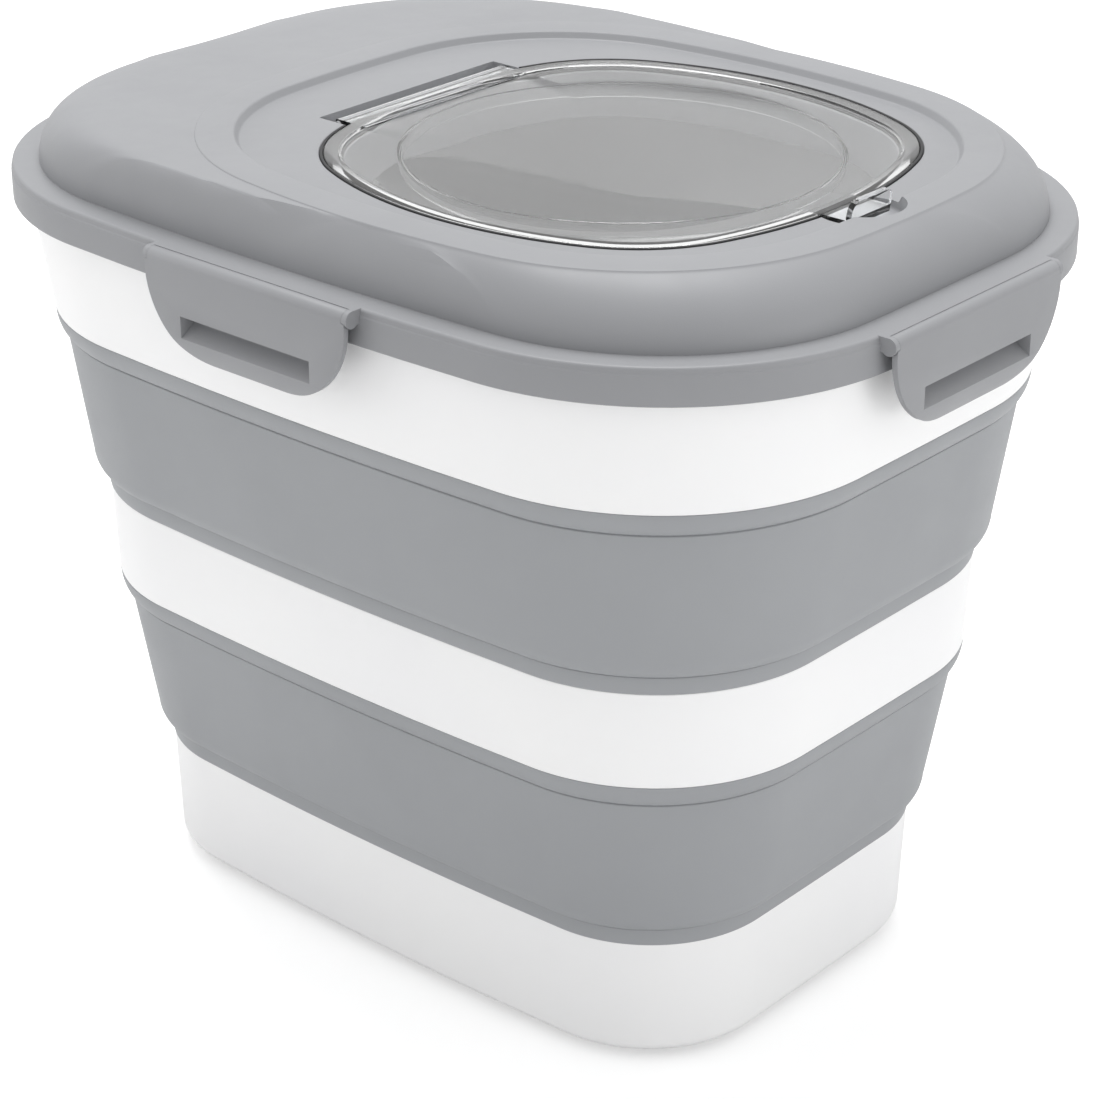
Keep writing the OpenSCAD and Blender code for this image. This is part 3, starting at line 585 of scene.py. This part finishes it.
# %% The lid's skin, from the throat over the dome to the underside
SHELF_W, COLLAR, FLAT_WIDTH = 9.5, 19.0, 14.5
CHANNEL_IN, CHANNEL_OUT, CHANNEL_Z = 9.6, 11.4, SKIRT_Z + 5.5
throat = rounded([(SHELF_W, SHELF_Z - COLLAR), (SHELF_W, SHELF_Z, 1.0), (0, SHELF_Z, 0.5),
                  (0, DECK_Z, 0.7), (-3, DECK_Z)], closed=False)
flat = rounded([(FLAT_WIDTH + 4.5, DECK_Z), (FLAT_WIDTH + 1.8, DECK_Z, 1.2),
                (FLAT_WIDTH, RING_Z, 1.4), (0, RING_Z, 0.9), (-0.35, RING_Z - 0.9)], closed=False)
edge = rounded([
    (LEDGE_WIDTH, LEDGE_Z, 0.4), (SKIRT_EDGE * 0.2, LEDGE_Z, 1.5), (0.35, LEDGE_Z - 2.3, 0.3),
    (0, LEDGE_Z - 3.0, 0.4), (0, SKIRT_Z, 0.5), (LID_WALL, SKIRT_Z, 0.5),
    (LID_WALL, LEDGE_Z - LID_WALL, 0.5), (CHANNEL_IN, LEDGE_Z - LID_WALL, 0.3),
    (CHANNEL_IN, CHANNEL_Z, 0.5), (CHANNEL_OUT, CHANNEL_Z, 0.5),
    (CHANNEL_OUT, LEDGE_Z - LID_WALL)], closed=False)
under_dome = dome_rings(LEDGE_WIDTH + LID_WALL, LEDGE_Z - LID_WALL,
                        LID_WALL, RING_Z - LID_WALL - HEAD_DROP, 10)[::-1]
under = stack(PLATEAU, [(FLAT_WIDTH, RING_Z - LID_WALL - HEAD_DROP),
                        (FLAT_WIDTH + 3, DECK_Z - LID_WALL)])
under += stack(RECESS, [(-LID_WALL, DECK_Z - LID_WALL), (-LID_WALL, SHELF_Z - LID_WALL),
                        (SHELF_W - LID_WALL, SHELF_Z - LID_WALL),
                        (SHELF_W - LID_WALL, SHELF_Z - COLLAR)])
lid = skin("lid", stack(RECESS, throat) + stack(PLATEAU, flat[:-1]) + dome[1:-1]
           + stack(RIM, edge) + under_dome + under)
print("lid skin faces:", len(lid.data.polygons))

# %% Grooves and lugs that carry the latches
ROLL_OUT, ROLL_Z, ROLL_R = 2.6, 304.3, 3.2
STRIP_IN, STRIP_OUT, STRIP_TOP, STRIP_FOOT = -5.5, 1.5, LEDGE_Z - 0.01, LEDGE_Z - 2.5
strip_section = [(STRIP_IN, STRIP_TOP), (STRIP_OUT, STRIP_TOP),
                 (STRIP_OUT, STRIP_FOOT), (STRIP_IN, STRIP_FOOT)]
groove_section = arc(ROLL_OUT, ROLL_Z, ROLL_R + 0.1, 0, 352.5, 47)
lug_section = [(STRIP_IN, STRIP_TOP)] + arc(ROLL_OUT, ROLL_Z, ROLL_R - 0.01, 90, -135, 36)
lug_section += [(-1.5, ROLL_Z - 2.6), (-1.5, STRIP_FOOT), (STRIP_IN, STRIP_FOOT)]
strips = [along_side(side, "strip", strip_section, 102) for side in SIDES]
grooves = [along_side(side, "groove", groove_section, 97.6) for side in SIDES]
lugs = [along_side(side, "lug", lug_section, 2.2, end) for side in SIDES for end in (-49.9, 49.9)]
combine(lid, strips, "UNION")
combine(lid, grooves, "DIFFERENCE")
combine(lid, lugs, "UNION")
print("lid with grooves and lugs:", len(lid.data.polygons))

# %% Slot for the window's bar, and the finger recess
HINGE_Y, HINGE_Z = 57.0, 325.9
slot_block = block("slot block", (-53.1, 52.5, 320.0), (53.1, 67.0, DECK_Z - 0.02))
FINGER_Y, FINGER_R, FINGER_OUT_R = -153.2, 16.2, 18.2


def finger_drum(name, radius, low, high, edge=0.0):
    """A short upright drum at the finger recess."""
    return lathe(name, rounded([(0.01, low), (radius, low, edge), (radius, high), (0.01, high)]),
                 lambda a, b, t: (a, b + FINGER_Y, t), 96)


def plug(name, plan, inset, high):
    """A solid that fills an outline, from well below the deck up to a height."""
    return swept(name, plan, [(inset, 300), (inset, high)], closed=False, caps=True)


under_deck = finger_drum("under deck", FINGER_OUT_R, SHELF_Z - 2.5, DECK_Z - 0.3)
under_ring = finger_drum("under ring", FINGER_OUT_R, SHELF_Z - 2.5, RING_Z - 1.3)
inside_ring = plug("inside ring", PLATEAU, FLAT_WIDTH + 0.4, 345)
combine(under_ring, [inside_ring], "DIFFERENCE")
combine(under_deck, [under_ring], "UNION")
inside = plug("inside", RECESS, -0.5, 340)
combine(under_deck, [inside], "DIFFERENCE")
combine(lid, [slot_block, under_deck], "UNION")
slot = block("slot", (-49.5, 53.5, 322.5), (49.5, 64.5, 340))
slot_front = block("slot front", (-49.5, 40.5, SHELF_Z), (49.5, 55, 340))
bore = rod_x("pin bore", 0, HINGE_Y, HINGE_Z, 1.46, 102.8, 32)
finger = finger_drum("finger", FINGER_R, SHELF_Z, 336, 1.0)
inside = plug("inside", RECESS, SHELF_W - 0.5, 345)
combine(finger, [inside], "DIFFERENCE")
combine(lid, [slot, slot_front, bore, finger], "DIFFERENCE")
dress(lid, LID_GREY, "lid", "lid_plastic", "lid_shell")

# %% [markdown]
# ## The seals
# A soft ring in the lid's channel keeps the food dry, and a dark ring round
# the window shows as a thin black line, because it stands a little above the
# deck. That ring is partly a seal and partly painted shade: its black stands in
# for the shadow in the gap round the window. Both are simple sections, so a
# sweep is enough. The dark ring stops where the hinge bar and the tab need room.

# %% Lid seal and window seal
lid_seal = swept("lid_seal_piece", RIM, rounded([
    (2.7, 305.0, 0.3), (2.7, 303.1, 0.6), (9.4, 303.1, 0.6), (9.4, 305.0, 0.3)]))
dress(lid_seal, SEAL_BLACK_AND_GAP_SHADE, "lid", "seal_rubber", "lid_seal")
# This ring stands above the deck so that its black shows as a thin line. The black is partly the
# seal and partly painted shade for the gap's shadow.
SEAL_IN, SEAL_OUT, SEAL_TOP, SEAL_FLANGE = 1.25, 0.1, 328.0, 325.2
window_seal = swept("window_seal_and_gap_shade_piece", RECESS, rounded([
    (SEAL_IN, SEAL_TOP, 0.3), (SEAL_OUT, SEAL_TOP, 0.3), (SEAL_OUT, SHELF_Z),
    (SHELF_W - 0.4, SHELF_Z), (SHELF_W - 0.4, SEAL_FLANGE, 0.2), (SEAL_IN, SEAL_FLANGE)]))
bar_room = block("bar room", (-49.9, 52.9, 320), (49.9, 70, 335))
low_room = block("low room", (-49.9, 40.1, SEAL_FLANGE), (49.9, 70, 335))
tab_room = block("tab room", (-15.5, -170, 320), (15.5, -145.1, 335))
combine(window_seal, [bar_room, low_room, tab_room], "DIFFERENCE")
dress(window_seal, SEAL_BLACK_AND_GAP_SHADE, "lid", "seal_rubber", "window_seal")

# %% [markdown]
# ## The window
# The window is one clear moulding: a raised border, a panel a little lower, a
# round rib below it, a hinge bar at the back and a lift tab at the front. Glass
# shaders need one closed skin, or light bends at every hidden wall. So the
# parts are made as closed solids and joined with a Boolean union.

# %% Border, panel and rib
WINDOW_TOP, BORDER_UNDER = 327.9, 325.5
PANEL_TOP, RIB_IN, RIB_OUT, RIB_FOOT, RIB_TOP = WINDOW_TOP - 0.8, 81.9, 83.5, 320.5, 325.9
window_section = rounded([
    (60, PANEL_TOP), (8.2, PANEL_TOP, 0.5), (7.2, WINDOW_TOP, 0.4), (1.4, WINDOW_TOP, 0.6),
    (1.4, BORDER_UNDER, 0.4), (60, BORDER_UNDER)], closed=False)
window = swept("window", RECESS, window_section, closed=False, caps=True)
rib_section = rounded([(RIB_IN, RIB_TOP), (RIB_IN, RIB_FOOT, 0.6),
                       (RIB_OUT, RIB_FOOT, 0.6), (RIB_OUT, RIB_TOP)])
rib = lathe("rib", rib_section, lambda a, b, t: (a, b + RECESS["shift"], t), 160)
print("window plate faces:", len(window.data.polygons))

# %% Hinge bar, pins and lift tab
BAR_FRONT, BAR_BACK, BAR_TOP = 44.0, 58.6, WINDOW_TOP - 0.05
bar_section = rounded([(BAR_FRONT, BORDER_UNDER), (BAR_FRONT, BAR_TOP, 0.4),
                       (BAR_BACK, BAR_TOP, 0.9), (BAR_BACK, BORDER_UNDER, 0.3)])
bar = prism("bar", bar_section, 93, lambda a, b, t: (t, a, b))
barrel = rod_x("barrel", 0, HINGE_Y, HINGE_Z, 1.9, 92.9, 32)
pins = rod_x("pins", 0, HINGE_Y, HINGE_Z, 1.4, 102.2, 32)
TAB_Y, LIP_HALF, LIP_TOP, LIP_THICK, LEAN = -157.1, 11.9, 334.9, 2.2, math.radians(9.5)
tab_foot = block("tab foot", (-12.5, TAB_Y, BORDER_UNDER), (12.5, TAB_Y + 15.6, WINDOW_TOP - 0.2))
lip_outline = rounded([(-LIP_HALF, BORDER_UNDER + 0.1), (LIP_HALF, BORDER_UNDER + 0.1),
                       (LIP_HALF, LIP_TOP, 4), (-LIP_HALF, LIP_TOP, 4)], steps=8)


def leaning(a, b, t):
    """Places a point of the lip so that the lip leans outwards as it rises."""
    back = LIP_THICK / 2 - t
    return (a, TAB_Y + LIP_THICK - back * math.cos(LEAN) - b * math.sin(LEAN),
            BORDER_UNDER + b * math.cos(LEAN) - back * math.sin(LEAN))


tab_lip = prism("tab lip", [(a, b - BORDER_UNDER) for a, b in lip_outline], LIP_THICK, leaning)
combine(window, [rib, bar, barrel, pins, tab_foot, tab_lip], "UNION")
dress(window, CLEAR, "window", "clear_plastic", "flip_window")

# %% [markdown]
# ## The latches
# A latch is a thin flap that hangs from a round top, with a slanted finger
# pocket. From the front it is a D lying on its back. It is the overlap of two
# prisms: the section pulled along the rim, and the face outline pulled
# outwards. Then the pocket is cut, and small bevels soften the edges.

# %% One latch, for each side
ROLL_UP, FLAP_OUT, FLAP_FOOT = 10.8, 5.8, -24.2
CURL, CURL_R, CURL_IN_R = 27, 18, 15.8
CURL_Z = CURL_R * math.sin(math.radians(CURL)) + FLAP_FOOT
latch_section = arc(ROLL_OUT, ROLL_UP, ROLL_R, -71.8, -360, 40)
latch_section += arc(FLAP_OUT - CURL_R, CURL_Z, CURL_R, 0, -CURL, 8)
latch_section += arc(FLAP_OUT - CURL_R, CURL_Z, CURL_IN_R, -CURL, 0, 8)
latch_face = [(-50, 15)] + arc(-18, 7.8, 32, 180, 270, 32)
latch_face += arc(18, 7.8, 32, 270, 360, 32) + [(50, 15)]


def latch(side):
    """The latch of one side; its heights count from the skirt's lower edge."""
    place = on_side(side)

    def along(name, section, length, middle=0.0):
        return along_side(side, name, section, length, middle, SKIRT_Z)

    body = along("latch_piece_" + side, latch_section, 100)
    face = prism("face", latch_face, 16, lambda a, b, t: place(t - 1, a, SKIRT_Z + b))
    combine(body, [face], "INTERSECT")
    end_section = arc(ROLL_OUT, ROLL_UP, ROLL_R + 0.15, 0, 352.5, 47)
    ends = [along("end", end_section, 3, end) for end in (-50.2, 50.2)]
    combine(body, ends, "DIFFERENCE")
    cup = along("cup", rounded([(4.6, -6.9, 0.3), (-2.3, -6.9, 1.4),
                                (-2.3, -12.2, 1.0), (4.6, -17.1, 0.3)]), 67.6)
    pin = along("pin", arc(ROLL_OUT, ROLL_UP, 1.2, 0, 345, 23), 100.4)
    combine(body, [cup, pin], "UNION")
    pocket = along("pocket", rounded([(7, -8.2), (-1, -8.2, 1.0),
                                      (-1, -12.2, 1.0), (7, -17.4)]), 65)
    combine(body, [pocket], "DIFFERENCE")
    soften(body, 0.3)
    return dress(body, LID_GREY, "latch_" + side, "lid_plastic", "latch_" + side)


for side in SIDES:
    latch(side)

# %% [markdown]
# ## The rollers
# Each roller is a short drum with a stub axle at both ends, all one black
# moulding. It is turned on a lathe: one section with round edges and two fine
# grooves in the tread goes round the axle's line.

# %% Four rollers
AXLE_R, AXLE_END, DRUM_END, GROOVE_R = 5.4, 12.7, 8.5, 12.2
half_section = [(0.05, AXLE_END), (AXLE_R, AXLE_END, 0.6), (AXLE_R, DRUM_END, 0.3),
                (ROLLER_R, DRUM_END, 0.8), (ROLLER_R, 4.4, 0.2), (GROOVE_R, 4.0, 0.2),
                (ROLLER_R, 3.6, 0.2)]
roller_section = rounded([(r, -t, *rest) for r, t, *rest in half_section] + half_section[::-1])
for end, y in (("front", -ROLLER_Y), ("back", ROLLER_Y)):
    for hand, x in (("left", -ROLLER_X), ("right", ROLLER_X)):
        roller = lathe(f"roller_piece_{end}_{hand}", roller_section,
                       lambda a, b, t, x=x, y=y: (x + t, y + a, ROLLER_Z + b))
        dress(roller, ROLLER_BLACK, f"roller_{end}_{hand}", "roller_plastic",
              f"roller_{end}_{hand}")

# %% [markdown]
# ## Floor, light and camera
# The floor is plain and pale, and it keeps a soft shadow under the bin. Seen
# by the camera or in a reflection, the background is white, and that comes
# from Light Path and not from stronger lamps. Three large area lamps give soft
# light: a high one nearly overhead, a low one behind at the left and a low one
# in front. So flat tops are bright, and slopes that face the camera are darker.

# %% Floor
FLOOR_SHADE, FLOOR_ROUGHNESS, FLOOR_GLOW = 0.9, 0.9, 0.35


def seen_by(nodes, link, *rays):
    """Light Path nodes that give 1 for two kinds of ray and 0 for the others."""
    path, either = nodes.new("ShaderNodeLightPath"), nodes.new("ShaderNodeMath")
    either.operation = "MAXIMUM"
    for i, ray in enumerate(rays):
        link(path.outputs[ray], either.inputs[i])
    return either.outputs[0]


floor_mesh = bpy.data.meshes.new("floor")
floor_mesh.from_pydata([(-6, -6, 0), (6, -6, 0), (6, 6, 0), (-6, 6, 0)], [], [(0, 1, 2, 3)])
floor = bpy.data.objects.new("floor", floor_mesh)
bpy.context.scene.collection.objects.link(floor)
FLOOR = bpy.data.materials.new("pale floor")
FLOOR.use_nodes = True
_n, _l = FLOOR.node_tree.nodes, FLOOR.node_tree.links.new
_matte = _n["Principled BSDF"]
_matte.inputs["Base Color"].default_value = (FLOOR_SHADE, FLOOR_SHADE, FLOOR_SHADE, 1)
_matte.inputs["Roughness"].default_value = FLOOR_ROUGHNESS
_glow, _add = _n.new("ShaderNodeEmission"), _n.new("ShaderNodeAddShader")
_scale = _n.new("ShaderNodeMath")
_scale.operation = "MULTIPLY"
_scale.inputs[1].default_value = FLOOR_GLOW
_l(seen_by(_n, _l, "Is Camera Ray", "Is Transmission Ray"), _scale.inputs[0])
_l(_scale.outputs[0], _glow.inputs["Strength"])
_l(_matte.outputs["BSDF"], _add.inputs[0])
_l(_glow.outputs["Emission"], _add.inputs[1])
_l(_add.outputs["Shader"], _n["Material Output"].inputs["Surface"])
floor_mesh.materials.append(FLOOR)
print("floor 12 m wide")

# %% World and lamps
FILL_LIGHT, SEEN_LIGHT = 0.74, 1.0
world = bpy.data.worlds.new("studio")
bpy.context.scene.world = world
world.use_nodes = True
_n, _l = world.node_tree.nodes, world.node_tree.links.new
_back = _n["Background"]
_mix = _n.new("ShaderNodeMix")
_l(seen_by(_n, _l, "Is Camera Ray", "Is Glossy Ray"), _mix.inputs["Factor"])
_mix.inputs["A"].default_value, _mix.inputs["B"].default_value = FILL_LIGHT, SEEN_LIGHT
_l(_mix.outputs["Result"], _back.inputs["Strength"])
_back.inputs["Color"].default_value = (1, 1, 1, 1)


def lamp(name, place, aim, size, power):
    """A soft rectangular lamp; lengths in metres, power in watts."""
    light = bpy.data.lights.new(name, "AREA")
    light.shape, light.size, light.size_y, light.energy = "RECTANGLE", size[0], size[1], power
    holder = bpy.data.objects.new(name, light)
    bpy.context.scene.collection.objects.link(holder)
    holder.location = place
    holder.rotation_euler = (Vector(aim) - Vector(place)).to_track_quat("-Z", "Y").to_euler()


lamp("top lamp", (0.25, 0.35, 2.2), (0, 0, 0.3), (1.3, 1.3), 31)
lamp("left lamp", (-1.6, 1.7, 0.6), (0, 0, 0.25), (1.0, 1.0), 5)
lamp("front lamp", (0.3, -2.3, 0.35), (0, 0, 0.25), (1.4, 0.7), 8)

# %% Camera at the photograph's place
# The focal length and the shift are in pixels of a picture PICTURE_WIDTH wide.
SENSOR, PICTURE_WIDTH, FOCAL, SHIFT_X, SHIFT_Y = 36, 1100, 3084.9, 10.5, -8.5
AZIMUTH, ELEVATION = -48.8, 25.4
camera_data = bpy.data.cameras.new("camera")
camera = bpy.data.objects.new("camera", camera_data)
bpy.context.scene.collection.objects.link(camera)
camera_data.sensor_width = SENSOR
camera_data.lens = FOCAL / PICTURE_WIDTH * SENSOR
camera_data.shift_x, camera_data.shift_y = SHIFT_X / PICTURE_WIDTH, SHIFT_Y / PICTURE_WIDTH
az, el = math.radians(AZIMUTH), math.radians(ELEVATION)
camera.location = (-0.8451, -0.7436, 0.6861)
towards = -Vector((math.sin(az) * math.cos(el), -math.cos(az) * math.cos(el), math.sin(el)))
camera.rotation_euler = towards.to_track_quat("-Z", "Y").to_euler()
camera_data.clip_start, camera_data.clip_end = 0.05, 50
bpy.context.scene.camera = camera
bpy.context.scene.view_settings.view_transform = "Standard"
print("lens, mm:", round(camera_data.lens, 2))
